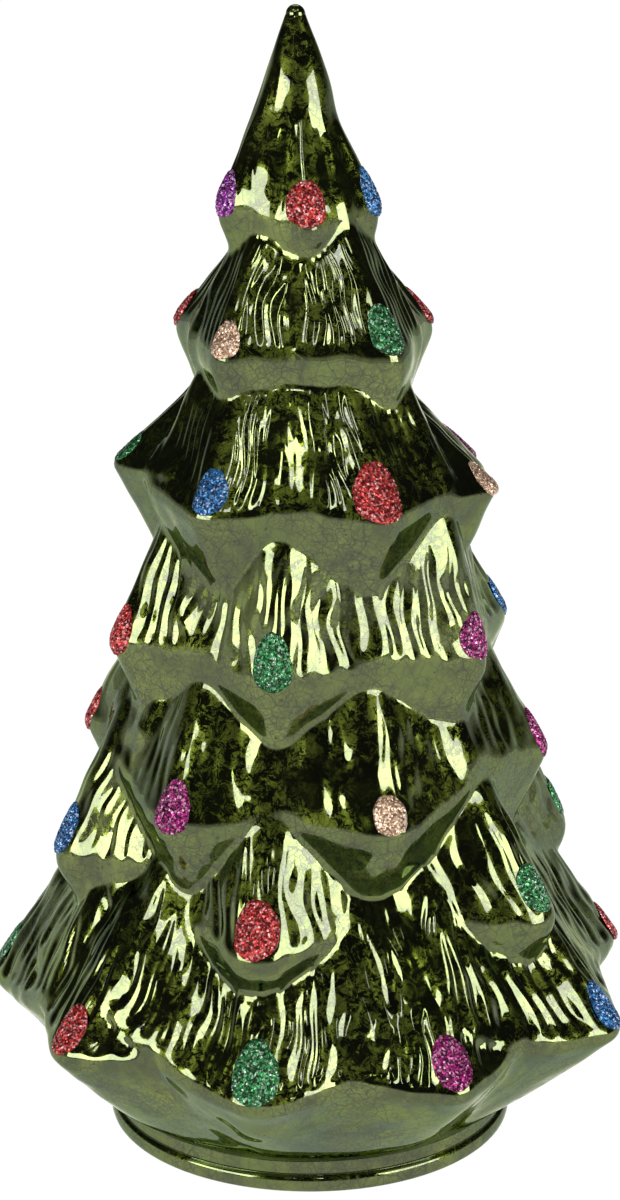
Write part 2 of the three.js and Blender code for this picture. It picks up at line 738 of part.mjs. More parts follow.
const lightGroup = new THREE.Group();
assembly.add(lightGroup);
place(lightGroup, "light_stem", lightStem(), whitePlastic);
place(lightGroup, "led_top", led(), warmLens, [0, 0, stemTop + fit]);
sideLeds.forEach(({ azimuth, height }, i) => {
  const turnedLed = led()
    .rotateX(Math.PI / 2)
    .translate(0, -stemRadius - fit, 0)
    .rotateZ(radians(azimuth));
  place(lightGroup, `led_side_${i + 1}`, turnedLed, warmLens, [0, 0, height]);
});
place(lightGroup, "led_wire_red", ledWire(wireSpread), redWire);
place(lightGroup, "led_wire_black", ledWire(-wireSpread), blackWire);
place(lightGroup, "battery_lead_black", batteryLead(), blackWire);

export default assembly;
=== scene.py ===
"""Looks for the blown-glass tabletop tree: mercury glass, raised glitter and the light base."""
import math

import bmesh
import bpy
import numpy as np
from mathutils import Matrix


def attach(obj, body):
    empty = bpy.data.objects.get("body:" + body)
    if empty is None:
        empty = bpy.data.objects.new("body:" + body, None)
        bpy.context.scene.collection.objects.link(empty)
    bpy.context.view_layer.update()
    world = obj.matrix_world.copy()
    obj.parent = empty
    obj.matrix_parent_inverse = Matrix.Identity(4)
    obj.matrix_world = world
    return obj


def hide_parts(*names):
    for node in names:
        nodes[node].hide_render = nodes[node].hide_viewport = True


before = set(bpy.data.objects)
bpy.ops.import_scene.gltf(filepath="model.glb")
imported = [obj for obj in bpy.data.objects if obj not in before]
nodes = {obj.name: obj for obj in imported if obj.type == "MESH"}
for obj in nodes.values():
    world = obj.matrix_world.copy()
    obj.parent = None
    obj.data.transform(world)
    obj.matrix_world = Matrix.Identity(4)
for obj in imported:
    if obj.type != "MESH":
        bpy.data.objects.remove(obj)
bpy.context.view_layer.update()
scene = bpy.context.scene
MM = 0.001

# The glass, in millimetres and degrees, as the CAD has it. Azimuth 0 faces the camera.
TREE_HEIGHT = 280
TIP_LEAN = -3.4
NECK_RADIUS = 50
NECK_TOP = 9
RIM_LIFT = 1
RIM_HEIGHT = 4.2
RIM_BEAD = 0.9
GLASS_WALL = 2.2
PIP_RADIUS = 2.3
SPIRE_SLOPE = 0.37
SPIRE_TOP = TREE_HEIGHT - PIP_RADIUS
CROWN_RADIUS = 9.5
BRANCH_RISE = 30  # above its lip a branch slopes evenly this far, and then curls inwards
BRANCH_CURL = 0.02
BRANCH_REACH = 75  # degrees that a branch reaches to each side of its tip
CREASE_BLEND = 2
HEM_FLARE = 0.85
TIER_BLEND = 1.2
CROWN_BLEND = 4
# A tip is its azimuth, then its own rise, stretch and steepness where it differs from the tier.
TIERS = [
    dict(height=231.5, lift=0, reach=20.4, flank=0.49, under=0.33, facet=36, nose=4, soft=4,
         tips=[(-66, 2.5, 0), (5, 0, -0.5), (78, 1, -1.5), (145, 0, -1.5), (217, 2.5, 1.5)]),
    dict(height=201.5, lift=1, reach=33.9, flank=0.83, under=0.42, facet=36, nose=5, soft=4.5,
         tips=[(-106, 2.5, -2.5), (-34.5, 0, 0, 0.8), (39.5, 0, 1, 0.8),
               (110, 1.5, -1, 1.05), (182, 0, 0, 0.9)]),
    dict(height=167.5, lift=2.5, reach=48.7, flank=1.07, under=0.48, facet=31, nose=5, soft=2.5,
         tips=[(-86, 4, -3), (-29.5, 0, -1, 0.62), (23, 0, -1, 0.62), (73, 0, -1.5),
               (124, -2, 1), (176, 0, 0, 0.9), (226,)]),
    dict(height=129, lift=3, reach=51.2, flank=0.49, under=0.4, facet=34.5, nose=6, soft=3,
         tips=[(-67, 1.5, -1), (-9.5, -0.5, -1.5, 0.55), (54.5, 0, -0.5, 0.55), (108.5, -1, 0.5, 1.16),
               (170,), (232, 0.5, 0.5)]),
    dict(height=94, lift=6, reach=58.6, flank=0.53, under=0.46, facet=34, nose=7, soft=3,
         tips=[(-95, 8.5, -3.5, 0.95), (-34.5,), (20,), (89, 3.5, 0), (148,), (207,)]),
    dict(height=67, lift=9, reach=67.7, flank=0.43, under=0.49, facet=49, nose=17, soft=4,
         tips=[(-76, 7.5, -3.5, 1.1), (-11, 0, 0.7, 1.4), (57, -1, 1.5, 1.4), (109, 1.5, 1.5, 1.1),
               (170, 0, 0, 1.2), (228, 0, 0, 1.2)]),
    dict(height=37, lift=10, reach=80.9, flank=0.75, under=0, facet=32, nose=7, soft=4,
         tips=[(-100, -6, 2, 0.85), (-49.5, 0, -1.5), (-9.5, 0, 0, 0.95), (26, 0, 0, 1.1), (65.5, -1, 2),
               (103, 2, 0, 0.9), (142, -1.5, -1.5), (181,), (221, 1, -3)]),
]


def smooth_min(a, b, k):
    """The lesser of two values, rounded over a width of k where they meet."""
    h = np.maximum(k - np.abs(a - b), 0) / k
    return np.minimum(a, b) - h * h * k / 4


def smooth_max(a, b, k):
    return -smooth_min(-a, -b, k)


def lean_at(z):
    return TIP_LEAN * (z / TREE_HEIGHT) ** 2


def branches(tier):
    """Azimuth, height, reach and slope of each branch in a tier."""
    for tip in tier["tips"]:
        azimuth, rise, stretch, steepness = tuple(tip) + (0, 0, 1)[len(tip) - 1:]
        yield azimuth, tier["height"] + rise, tier["reach"] + stretch, tier["flank"] * steepness


def branch_radius(tier, branch, azimuth, z):
    """Radius of one branch, and the height above its lip."""
    centre, height, reach, flank = branch
    turn = np.abs(azimuth - centre) % 360
    turn = np.minimum(turn, 360 - turn)
    lip = height + tier["lift"] * np.minimum(turn / tier["facet"], 1) ** 2
    sharp = reach + (tier["nose"] + tier["soft"]) / 4
    curl = BRANCH_CURL * np.maximum(z - lip - BRANCH_RISE, 0) ** 2
    above = sharp - flank * (z - lip) - curl
    facet = math.cos(math.radians(tier["facet"]))
    past = np.cos(np.radians(turn - tier["facet"]))
    near = np.where(turn < tier["facet"], facet / past, facet * past**4)
    far = facet / np.maximum(np.cos(np.radians(turn + tier["facet"])), 0.05)

    def rounded(ridge):
        return smooth_min(ridge * near, ridge * far, tier["nose"])

    if tier["under"] > 0:
        radius = rounded(smooth_min(above, sharp + tier["under"] * (z - lip), tier["soft"]))
    else:
        rise = np.maximum((z - NECK_TOP) / (lip - NECK_TOP), 0) ** HEM_FLARE
        hem = NECK_RADIUS + (rounded(sharp) - NECK_RADIUS) * rise
        radius = smooth_min(rounded(above), hem, tier["soft"])
    return np.where((above > 0) & (turn <= BRANCH_REACH), np.maximum(radius, 0), 0), z - lip


def smoothstep(low, high, x):
    t = np.clip((x - low) / (high - low), 0, 1)
    return t * t * (3 - 2 * t)


# Needle grooves: spacing and depth on each tier, in millimetres
GROOVES = [(3.2, 0.12), (2.8, 0.24), (3.0, 0.28), (4.3, 0.62), (4.6, 0.22), (4.2, 0.6), (5.0, 1.0)]
FAN_REACH = 95  # the grooves of a branch run towards a point this far above its lip
GROOVE_TOP = 20  # about how far above the lip they begin to fade


def needle_groove(tier_index, branch, azimuth, z, radius, above_lip):
    """How far the surface is pressed in by the needle grooves that fan down a branch's upper face."""
    spacing, depth = GROOVES[tier_index]
    centre = branch[0]
    turn = (azimuth - centre + 180) % 360 - 180
    side = np.sin(np.radians(turn)) * radius
    fan = side / (1 - np.clip(above_lip, 0, 40) / FAN_REACH)
    seed = centre * 0.37 + tier_index
    wave = 1.1 * np.sin(z * 0.15 + seed) + 0.45 * np.sin(z * 0.43 + fan * 0.3 + 2 * seed)
    wave += 0.9 * np.sin(fan * 0.29 + seed)
    phase = 2 * np.pi * (fan + wave) / spacing
    pressed = (0.5 + 0.5 * np.cos(phase)) ** 1.3
    strength = 0.75 + 0.2 * np.sin(fan * 0.27 + 5 * seed + 0.09 * z)
    strength += 0.12 * np.sin(fan * 0.9 - 0.3 * z + seed)
    top = GROOVE_TOP + 5 * np.sin(fan * 0.8 + seed)
    fade = smoothstep(1.5, 5, above_lip) * (1 - smoothstep(top, top + 7, above_lip))
    return depth * pressed * strength * fade


def tree_radius(azimuth, z, grooved=False):
    """Radius of the outside of the glass. With grooves it is the finished surface."""
    azimuth, z = np.broadcast_arrays(np.asarray(azimuth, float), np.asarray(z, float))
    radius = smooth_min(PIP_RADIUS + SPIRE_SLOPE * (SPIRE_TOP - z), CROWN_RADIUS, CROWN_BLEND)
    best, groove = radius.copy(), np.zeros_like(radius)
    blend = CREASE_BLEND * np.clip((z - NECK_TOP) / 12, 0.02, 1)
    for index, tier in enumerate(TIERS):
        tier_radius = None
        for branch in branches(tier):
            one, above_lip = branch_radius(tier, branch, azimuth, z)
            if grooved:
                press = needle_groove(index, branch, azimuth, z, one, above_lip)
                press = press * smoothstep(-0.2, 1.2, one - best)
                groove = np.where(one > best, press, groove * smoothstep(-0.2, 1.2, best - one))
            best = np.maximum(best, one)
            tier_radius = one if tier_radius is None else smooth_max(tier_radius, one, blend)
        radius = smooth_max(radius, tier_radius, TIER_BLEND)
    return radius - groove


rng = np.random.default_rng(7)


def ripple(points, amplitude, shortest, longest, count=28):
    """Smooth unevenness of hand-blown glass: a sum of waves in random directions."""
    total = np.zeros(points.shape[:-1])
    for _ in range(count):
        direction = rng.normal(size=3)
        direction /= np.linalg.norm(direction)
        length = rng.uniform(shortest, longest)
        total += np.sin(points @ direction * (2 * np.pi / length) + rng.uniform(0, 2 * np.pi))
    return total * amplitude / math.sqrt(count / 2)


def on_circle(radius, azimuth, z, lean=0.0):
    """Points at a radius, azimuth and height, moved sideways by the lean."""
    a = np.radians(azimuth)
    return np.stack(np.broadcast_arrays(radius * np.sin(a) + lean, -radius * np.cos(a), z), -1)


def mesh_object(name, vertices, faces, smooth=True):
    """A new mesh object from vertices and faces that all have the same number of corners."""
    mesh = bpy.data.meshes.new(name)
    vertices = np.asarray(vertices, np.float32)
    faces = np.asarray(faces, np.int32)
    mesh.vertices.add(len(vertices))
    mesh.vertices.foreach_set("co", vertices.ravel())
    mesh.loops.add(faces.size)
    mesh.loops.foreach_set("vertex_index", faces.ravel())
    mesh.polygons.add(len(faces))
    mesh.polygons.foreach_set("loop_start", np.arange(0, faces.size, faces.shape[1], dtype=np.int32))
    mesh.polygons.foreach_set("use_smooth", np.full(len(faces), smooth))
    mesh.update(calc_edges=True)
    mesh.validate()
    made = bpy.data.objects.new(name, mesh)
    scene.collection.objects.link(made)
    return made


# Fine glass
COLUMNS = 720
ROW_STEP = 0.75
BEAD_STEPS = 8
BEAD_ROUND = 1.2
PIP_STEPS = 9
HOLLOW_STEP = 6.0
HOLLOW_END = TREE_HEIGHT - 32
RIPPLE_HEIGHT = 0.2
RIPPLE_LENGTHS = (8, 24)


def neck_profile():
    """Radius and height of the rings of the rolled rim and the neck, from the bottom up."""
    rim_top = RIM_LIFT + RIM_HEIGHT
    rim_middle = (RIM_LIFT + rim_top) / 2
    profile = [(NECK_RADIUS - 1.6, RIM_LIFT), (NECK_RADIUS - 0.5, RIM_LIFT)]
    for step in range(BEAD_STEPS + 1):
        a = math.pi * (step / BEAD_STEPS - 0.5)
        radius = NECK_RADIUS + RIM_BEAD - BEAD_ROUND + BEAD_ROUND * math.cos(a) ** 0.7
        profile.append((radius, rim_middle + RIM_HEIGHT / 2 * math.sin(a)))
    profile += [(NECK_RADIUS - 0.35, rim_top + 0.15), (NECK_RADIUS, rim_top + 0.6)]
    return profile + [(NECK_RADIUS, z) for z in np.arange(rim_top + 1.2, NECK_TOP - 0.6, 0.8)]


def body_rings(azimuth):
    """The branches and the spire, with their grooves and the unevenness of blown glass."""
    z = np.arange(NECK_TOP, SPIRE_TOP, ROW_STEP)[:, None]
    radius = tree_radius(azimuth, z, grooved=True)
    hem = smoothstep(0, 3, z - NECK_TOP)
    radius = np.maximum(radius, NECK_RADIUS) * (1 - hem) + radius * hem
    swell = smoothstep(NECK_TOP + 4, NECK_TOP + 16, z) * (1 - 0.7 * smoothstep(225, 262, z))
    bumps = ripple(on_circle(radius, azimuth, z, lean_at(z)), RIPPLE_HEIGHT, *RIPPLE_LENGTHS) * swell
    return list(on_circle(radius + bumps, azimuth, z, lean_at(z)))


def pip_rings(azimuth):
    """The round end of the spire."""
    rings = []
    for step in range(PIP_STEPS):
        a = math.pi / 2 * step / PIP_STEPS
        z = SPIRE_TOP + PIP_RADIUS * math.sin(a)
        rings.append(on_circle(PIP_RADIUS * math.cos(a), azimuth, z, lean_at(z)))
    return rings


def hollow_rings(azimuth):
    """The inside of the glass, from the bottom up."""
    rings = [on_circle(NECK_RADIUS - GLASS_WALL, azimuth, z) for z in (RIM_LIFT, NECK_TOP)]
    half = HOLLOW_STEP / 2
    for z in np.arange(NECK_TOP + HOLLOW_STEP, HOLLOW_END, HOLLOW_STEP):
        least = np.min([tree_radius(azimuth, z + d) for d in (-half, 0, half)], axis=0)
        rings.append(on_circle(least - GLASS_WALL, azimuth, z, lean_at(z)))
    return rings


def glass_object():
    """The glass as one closed skin, down its inside and then up its outside."""
    azimuth = np.arange(COLUMNS) * 360 / COLUMNS
    rings = hollow_rings(azimuth)[::-1]
    rings += [on_circle(radius, azimuth, z) for radius, z in neck_profile()]
    rings += body_rings(azimuth) + pip_rings(azimuth)
    i, j = np.meshgrid(np.arange(len(rings) - 1), np.arange(COLUMNS), indexing="ij")
    a, b = i * COLUMNS + j, i * COLUMNS + (j + 1) % COLUMNS
    quads = np.stack([a, b, b + COLUMNS, a + COLUMNS], -1).reshape(-1, 4)
    vertices = np.vstack([*rings, rings[0].mean(axis=0), rings[-1].mean(axis=0)])
    made = mesh_object("glass_skin", vertices * MM, quads)
    close_ends(made.data)
    return made


def close_ends(mesh):
    """Closes the first and the last ring, each with a fan about one of the two last vertices."""
    work = bmesh.new()
    work.from_mesh(mesh)
    work.verts.ensure_lookup_table()
    hollow_centre, tip = len(work.verts) - 2, len(work.verts) - 1
    last = hollow_centre - COLUMNS
    pairs = [(k, (k + 1) % COLUMNS) for k in range(COLUMNS)]
    fans = [(b, a, hollow_centre) for a, b in pairs] + [(last + a, last + b, tip) for a, b in pairs]
    for fan in fans:
        face = work.faces.new([work.verts[corner] for corner in fan])
        face.smooth = True
    bmesh.ops.recalc_face_normals(work, faces=work.faces)
    work.to_mesh(mesh)
    work.free()


# Glitter
# The deep and the bright shade of each colour's flakes. Flakes are spread between them at random, which is
# partly painted sparkle.
DOT_COLOURS = {
    "magenta": ((0.06, 0.002, 0.03), (0.42, 0.02, 0.2)),
    "red": ((0.12, 0.005, 0.006), (0.6, 0.05, 0.04)),
    "blue": ((0.008, 0.035, 0.1), (0.03, 0.2, 0.48)),
    "green": ((0.01, 0.046, 0.014), (0.045, 0.3, 0.09)),
    "gold": ((0.28, 0.17, 0.1), (0.85, 0.6, 0.42)),
    "purple": ((0.05, 0.003, 0.06), (0.34, 0.04, 0.36)),
}
# Tier, tip, colour, half width, half height, and how far the dot's centre lies above the lip
DOTS = [
    (0, 0, "purple", 4.4, 5.6, 3), (0, 1, "red", 5.2, 5.4, 5), (0, 2, "blue", 4.2, 6.0, 4.5),
    (1, 0, "red", 4.0, 4.8, 3), (1, 1, "gold", 3.8, 4.4, 5), (1, 2, "green", 4.8, 5.6, 7),
    (1, 3, "red", 4.0, 5.0, 4),
    (2, 0, "green", 3.8, 3.8, 4), (2, 1, "blue", 4.2, 5.0, 6), (2, 2, "red", 6.0, 6.6, 6.2),
    (2, 3, "gold", 3.8, 4.2, 2.5),
    (3, 0, "red", 4.6, 6.2, 3.5), (3, 1, "green", 4.8, 7.0, 6.5), (3, 2, "magenta", 4.8, 5.8, 6.5),
    (3, 3, "blue", 4.4, 5.8, 4.5),
    (4, 1, "magenta", 4.8, 6.2, 5), (4, 2, "gold", 4.3, 4.4, 5.5), (4, 3, "magenta", 4.4, 6.6, 4.5),
    (5, 0, "blue", 4.8, 6.4, 7.5), (5, 1, "red", 5.5, 6.3, 8), (5, 2, "green", 5.2, 5.4, 8.5),
    (5, 3, "green", 4.8, 5.4, 8.5),
    (6, 0, "green", 4.4, 5.4, 9), (6, 1, "red", 4.4, 5.4, 6.5), (6, 2, "green", 5.5, 6.6, 7.5),
    (6, 3, "magenta", 4.9, 5.4, 7), (6, 4, "blue", 4.4, 5.6, 6.5), (6, 5, "red", 4.2, 5.4, 4.5),
]
# The same, for the tips that the camera doesn't see
REAR_DOTS = [
    (0, 3, "green", 4.6, 6, 4), (0, 4, "gold", 4.6, 6, 4), (1, 4, "blue", 4.6, 6, 4),
    (2, 4, "magenta", 4.6, 6, 4), (2, 5, "green", 4.8, 6.4, 4), (2, 6, "gold", 4.6, 6, 4),
    (3, 4, "gold", 4.6, 6, 4), (3, 5, "green", 4.6, 6, 4), (4, 0, "red", 4.4, 5.8, 4),
    (4, 4, "blue", 4.6, 6, 4), (4, 5, "red", 4.6, 6, 4), (5, 4, "magenta", 4.8, 6, 4),
    (5, 5, "gold", 4.6, 6, 4), (6, 6, "gold", 4.6, 6, 5), (6, 7, "blue", 4.8, 6, 5),
    (6, 8, "magenta", 4.6, 6, 5),
]
DOT_GRAIN = 0.3  # spacing of a dot's facets
DOT_CROWN = 0.9
DOT_TAPER = 0.16  # how much wider a dot is below its middle
FLAKE_SHIFT = 0.11
FLAKE_LIFT = 0.16


def glitter_dot(name, tier_index, tip_index, half_width, half_height, rise):
    """A domed pad of coarse glitter that follows the glass under it."""
    tier = TIERS[tier_index]
    azimuth, height, *_ = list(branches(tier))[tip_index]
    centre = height + rise
    reach = float(tree_radius(azimuth, centre))
    count = int(round(half_height / DOT_GRAIN))
    u, v = np.meshgrid(np.linspace(-1, 1, 2 * count), np.linspace(-1, 1, 2 * count), indexing="ij")
    x = u * np.sqrt(1 - v * v / 2)
    y = v * np.sqrt(1 - u * u / 2)
    drop = 1 + DOT_TAPER * np.where(y < 0, -y, -0.7 * y)
    outline = 1 + 0.03 * np.sin(3 * np.arctan2(y, x) + azimuth) + 0.015 * np.sin(7 * np.arctan2(y, x))
    side, up = x * half_width * drop * outline, y * half_height * outline
    level = np.clip(1 - x * x - y * y, 0, 1)
    crown = DOT_CROWN * (1 - (1 - level) ** 2) * 0.75 + 0.12
    inner = (np.abs(u) < 0.999) & (np.abs(v) < 0.999)
    side = side + inner * rng.uniform(-FLAKE_SHIFT, FLAKE_SHIFT, side.shape)
    up = up + inner * rng.uniform(-FLAKE_SHIFT, FLAKE_SHIFT, side.shape)
    crown = crown + inner * rng.uniform(-FLAKE_LIFT, FLAKE_LIFT, side.shape)
    crown = np.where(inner, crown, -0.25)
    turn = azimuth + np.degrees(side / reach)
    z = centre + up
    radius = tree_radius(turn, z) + crown
    points = on_circle(radius, turn, z, lean_at(z))
    n = points.shape[0]
    index = np.arange(n * n).reshape(n, n)
    a, b, c, d = index[:-1, :-1], index[1:, :-1], index[1:, 1:], index[:-1, 1:]
    flip = (np.add.outer(np.arange(n - 1), np.arange(n - 1)) % 2).astype(bool)
    first = np.where(flip[..., None], np.stack([a, b, c], -1), np.stack([a, b, d], -1))
    second = np.where(flip[..., None], np.stack([a, c, d], -1), np.stack([b, c, d], -1))
    triangles = np.concatenate([first.reshape(-1, 3), second.reshape(-1, 3)])
    return mesh_object(name, points.reshape(-1, 3) * MM, triangles, smooth=False)


# Materials
class Nodes:
    """A small helper to build a material's node tree."""

    def __init__(self, name):
        self.material = bpy.data.materials.new(name)
        self.material.use_nodes = True
        self.tree = self.material.node_tree
        self.shader = self.tree.nodes["Principled BSDF"]

    def add(self, kind, values=None):
        """A new node, with a value for each named input or setting."""
        node = self.tree.nodes.new(kind)
        for key, value in (values or {}).items():
            if key in node.inputs:
                node.inputs[key].default_value = value
            else:
                setattr(node, key, value)
        return node

    def link(self, source, target, key):
        self.tree.links.new(source, target.inputs[key])

    def position(self):
        return self.add("ShaderNodeTexCoord").outputs["Object"]

    def math(self, operation, a, b=None, clamp=False):
        node = self.tree.nodes.new("ShaderNodeMath")
        node.operation = operation
        node.use_clamp = clamp
        for i, value in enumerate((a, b)):
            if value is None:
                continue
            if isinstance(value, (int, float)):
                node.inputs[i].default_value = value
            else:
                self.tree.links.new(value, node.inputs[i])
        return node.outputs[0]

    def span(self, value, low, high, out_low=0.0, out_high=1.0):
        """Takes low to high over to out_low to out_high, with soft ends."""
        node = self.tree.nodes.new("ShaderNodeMapRange")
        node.interpolation_type = "SMOOTHSTEP"
        self.tree.links.new(value, node.inputs["Value"])
        for key, number in (("From Min", low), ("From Max", high), ("To Min", out_low), ("To Max", out_high)):
            node.inputs[key].default_value = number
        return node.outputs["Result"]

    def mix(self, factor, a, b):
        node = self.tree.nodes.new("ShaderNodeMix")
        node.data_type = "RGBA"
        for key, value in ((0, factor), (6, a), (7, b)):
            if isinstance(value, (int, float)):
                node.inputs[key].default_value = value
            elif isinstance(value, tuple):
                node.inputs[key].default_value = (*value, 1.0)
            else:
                self.tree.links.new(value, node.inputs[key])
        return node.outputs[2]

    def noise(self, scale, detail=3.0, roughness=0.55, vector=None, distortion=0.0):
        node = self.tree.nodes.new("ShaderNodeTexNoise")
        node.inputs["Scale"].default_value = scale
        node.inputs["Detail"].default_value = detail
        node.inputs["Roughness"].default_value = roughness
        node.inputs["Distortion"].default_value = distortion
        self.tree.links.new(vector or self.position(), node.inputs["Vector"])
        return node.outputs["Fac"]

    def cells(self, scale, feature="DISTANCE_TO_EDGE", vector=None):
        node = self.tree.nodes.new("ShaderNodeTexVoronoi")
        node.feature = feature
        node.inputs["Scale"].default_value = scale
        self.tree.links.new(vector or self.position(), node.inputs["Vector"])
        return node

    def warped(self, scale, amount):
        """The position, pushed about by noise so that cells lose their straight sides."""
        noise = self.tree.nodes.new("ShaderNodeTexNoise")
        noise.inputs["Scale"].default_value = scale
        self.tree.links.new(self.position(), noise.inputs["Vector"])
        shift = self.add("ShaderNodeVectorMath", {"operation": "MULTIPLY_ADD"})
        self.tree.links.new(noise.outputs["Color"], shift.inputs[0])
        shift.inputs[1].default_value = (amount,) * 3
        self.tree.links.new(self.position(), shift.inputs[2])
        return shift.outputs[0]

    def bump(self, height, distance, strength=1.0):
        node = self.tree.nodes.new("ShaderNodeBump")
        node.inputs["Distance"].default_value = distance
        node.inputs["Strength"].default_value = strength
        self.tree.links.new(height, node.inputs["Height"])
        self.tree.links.new(node.outputs["Normal"], self.shader.inputs["Normal"])

    def set(self, **values):
        """Sets or links inputs of the shader. An underscore in a name stands for a space."""
        for key, value in values.items():
            socket = self.shader.inputs[key.replace("_", " ")]
            if isinstance(value, tuple):
                value = (*value, 1.0)
            if isinstance(value, (int, float, tuple)):
                socket.default_value = value
            else:
                self.tree.links.new(value, socket)
        return self


def mercury_glass():
    """Silvered green glass: a tinted mirror under clear glass, clouded in blotches and crackled."""
    m = Nodes("mercury_glass")
    edges = m.cells(300, vector=m.warped(200, 0.003)).outputs["Distance"]
    small_edges = m.cells(760, vector=m.warped(500, 0.0012)).outputs["Distance"]
    hairline = m.span(edges, 0.01, 0.05, 1, 0)
    fine_hairline = m.span(small_edges, 0.03, 0.12, 1, 0)
    worn = m.span(m.noise(46, 3, 0.6), 0.38, 0.58)
    amount = m.math("ADD", m.math("MULTIPLY", worn, 0.55), 0.45)
    cloud = m.math("MULTIPLY", m.span(m.noise(300, 8, 0.85, distortion=0.7), 0.46, 0.54), amount)
    pit = m.span(m.cells(620, "F1", vector=m.warped(300, 0.002)).outputs["Distance"], 0.16, 0.3, 1, 0)
    pit = m.math("MULTIPLY", pit, m.span(m.noise(150, 4, 0.7), 0.5, 0.58))
    lines = m.math("MULTIPLY", hairline, amount)
    lines = m.math("MAXIMUM", lines, m.math("MULTIPLY", m.math("MULTIPLY", fine_hairline, worn), 0.6))
    dark = m.math("MAXIMUM", lines, pit)
    tint = m.mix(m.span(m.noise(30, 2), 0.35, 0.65), (0.1, 0.142, 0.011), (0.15, 0.19, 0.026))
    stain = m.span(m.noise(55, 5, 0.68, distortion=0.6), 0.4, 0.62)
    tint = m.mix(stain, tint, (0.042, 0.06, 0.005))
    tint = m.mix(m.math("MULTIPLY", cloud, 0.75), tint, (0.095, 0.115, 0.016))
    tint = m.mix(m.math("MULTIPLY", dark, 0.85), tint, (0.02, 0.03, 0.003))
    m.set(Base_Color=tint, Metallic=1.0, Coat_Weight=0.4, Coat_Roughness=0.02, Coat_IOR=2.2)
    m.set(Specular_Tint=(0.4, 0.5, 0.15))
    m.set(Roughness=m.span(cloud, 0.0, 1.0, 0.03, 0.42))
    m.bump(m.noise(240, 2), 0.0005, 0.12)
    return m.material


def glitter(name, deep, bright):
    """Flakes spread at random between a deep and a bright shade, partly as painted sparkle, with a painted
    pale glint here and there.
    """
    m = Nodes(name)
    flakes = m.cells(1900, "F1")
    chance = m.add("ShaderNodeSeparateColor")
    m.link(flakes.outputs["Color"], chance, "Color")
    # Each flake's brightness: a tone that differs at random, which also paints the sparkle of flakes catching
    # the light
    flake_tone_and_sparkle = m.span(chance.outputs["Red"], 0.3, 1.0)
    # Painted glints: a few flakes get a pale, near-white colour that stands in for light glinting off them
    painted_glint = m.span(chance.outputs["Green"], 0.8, 0.84)
    pale = tuple(0.3 + 0.7 * c for c in bright)
    colour = m.mix(flake_tone_and_sparkle, deep, bright)
    colour = m.mix(m.math("MULTIPLY", painted_glint, 0.75), colour, pale)
    m.set(Base_Color=colour, Metallic=0.7, Roughness=0.3, Coat_Weight=0.2, Coat_Roughness=0.1)
    return m.material


def plain(name, colour, roughness, metallic=0.0, grain=900, variation=0.08, depth=0.00003):
    """A solid colour with a fine grain in its colour and surface."""
    m = Nodes(name)
    noise = m.noise(grain, 4, 0.6)
    darker = tuple(c * (1 - variation) for c in colour)
    lighter = tuple(min(c * (1 + variation), 1) for c in colour)
    m.set(Base_Color=m.mix(noise, darker, lighter), Metallic=metallic)
    m.set(Roughness=m.span(noise, 0.3, 0.7, max(roughness - 0.06, 0.02), min(roughness + 0.06, 1)))
    m.bump(noise, depth, 0.4)
    return m.material


def lens_material():
    m = Nodes("led_lens")
    cloudy = m.noise(600, 2)
    m.set(Base_Color=m.mix(cloudy, (0.95, 0.83, 0.52), (0.98, 0.9, 0.66)), Roughness=0.08,
          Transmission_Weight=0.6, IOR=1.5)
    return m.material


def board_material():
    m = Nodes("board_laminate")
    weave = m.noise(1500, 3)
    tracks = m.span(m.cells(260).outputs["Distance"], 0.05, 0.09, 1, 0)
    base = m.mix(weave, (0.02, 0.14, 0.06), (0.03, 0.2, 0.08))
    m.set(Base_Color=m.mix(m.math("MULTIPLY", tracks, 0.5), base, (0.05, 0.3, 0.12)), Roughness=0.35)
    return m.material


def sleeve_material():
    """A plain battery sleeve: dark, a little metallic and scuffed."""
    m = Nodes("battery_sleeve")
    scuff = m.noise(500, 4)
    m.set(Base_Color=m.mix(scuff, (0.13, 0.15, 0.17), (0.2, 0.22, 0.24)), Metallic=0.5,
          Roughness=m.span(scuff, 0.3, 0.7, 0.22, 0.38))
    return m.material


def dress(names, material):
    """Gives the CAD's own pieces a material."""
    for name in names:
        mesh = nodes[name].data
        mesh.materials.clear()
        mesh.materials.append(material)


glass = glass_object()
glass.data.materials.append(mercury_glass())
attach(glass, "tree")
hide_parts("glass_tree")

glitter_materials = {
    colour: glitter(f"{colour}_glitter", deep, bright) for colour, (deep, bright) in DOT_COLOURS.items()
}
for tier_index, tip_index, colour, half_width, half_height, rise in DOTS + REAR_DOTS:
    label = f"{tier_index + 1}{'abcdefghi'[tip_index]}"
    dot = glitter_dot(f"glitter_{label}", tier_index, tip_index, half_width, half_height, rise)
    dot.data.materials.append(glitter_materials[colour])
    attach(dot, "tree")
    if f"glitter_dot_{label}" in nodes:
        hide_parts(f"glitter_dot_{label}")

black_plastic = plain("black_plastic", (0.03, 0.03, 0.03), 0.5, grain=1400, depth=0.00005)
contact_metal = plain("contact_metal", (0.72, 0.7, 0.66), 0.25, 1.0)
dress(["base_housing"], plain("housing_plastic", (0.05, 0.07, 0.025), 0.45))
dress(["bottom_cover", "battery_door", "switch_slider"], black_plastic)
dress(["switch_body", "light_stem"], plain("white_plastic", (0.78, 0.78, 0.74), 0.4))
dress(["seal_ring"], plain("silicone", (0.6, 0.62, 0.58), 0.55))
dress([n for n in nodes if n.startswith("rubber_foot")], plain("foot_rubber", (0.02, 0.02, 0.02), 0.85))
dress([n for n in nodes if "screw" in n], plain("screw_steel", (0.65, 0.66, 0.68), 0.22, 1.0))
dress([n for n in nodes if "contact" in n], contact_metal)
dress([n for n in nodes if n.startswith("battery_") and n[-1].isdigit()], sleeve_material())
dress(["circuit_board"], board_material())
dress(["led_top", "led_side_1", "led_side_2"], lens_material())
dress(["led_wire_red"], plain("red_insulation", (0.5, 0.03, 0.02), 0.45))
dress(["led_wire_black", "battery_lead_black"], plain("black_insulation", (0.02, 0.02, 0.02), 0.45))

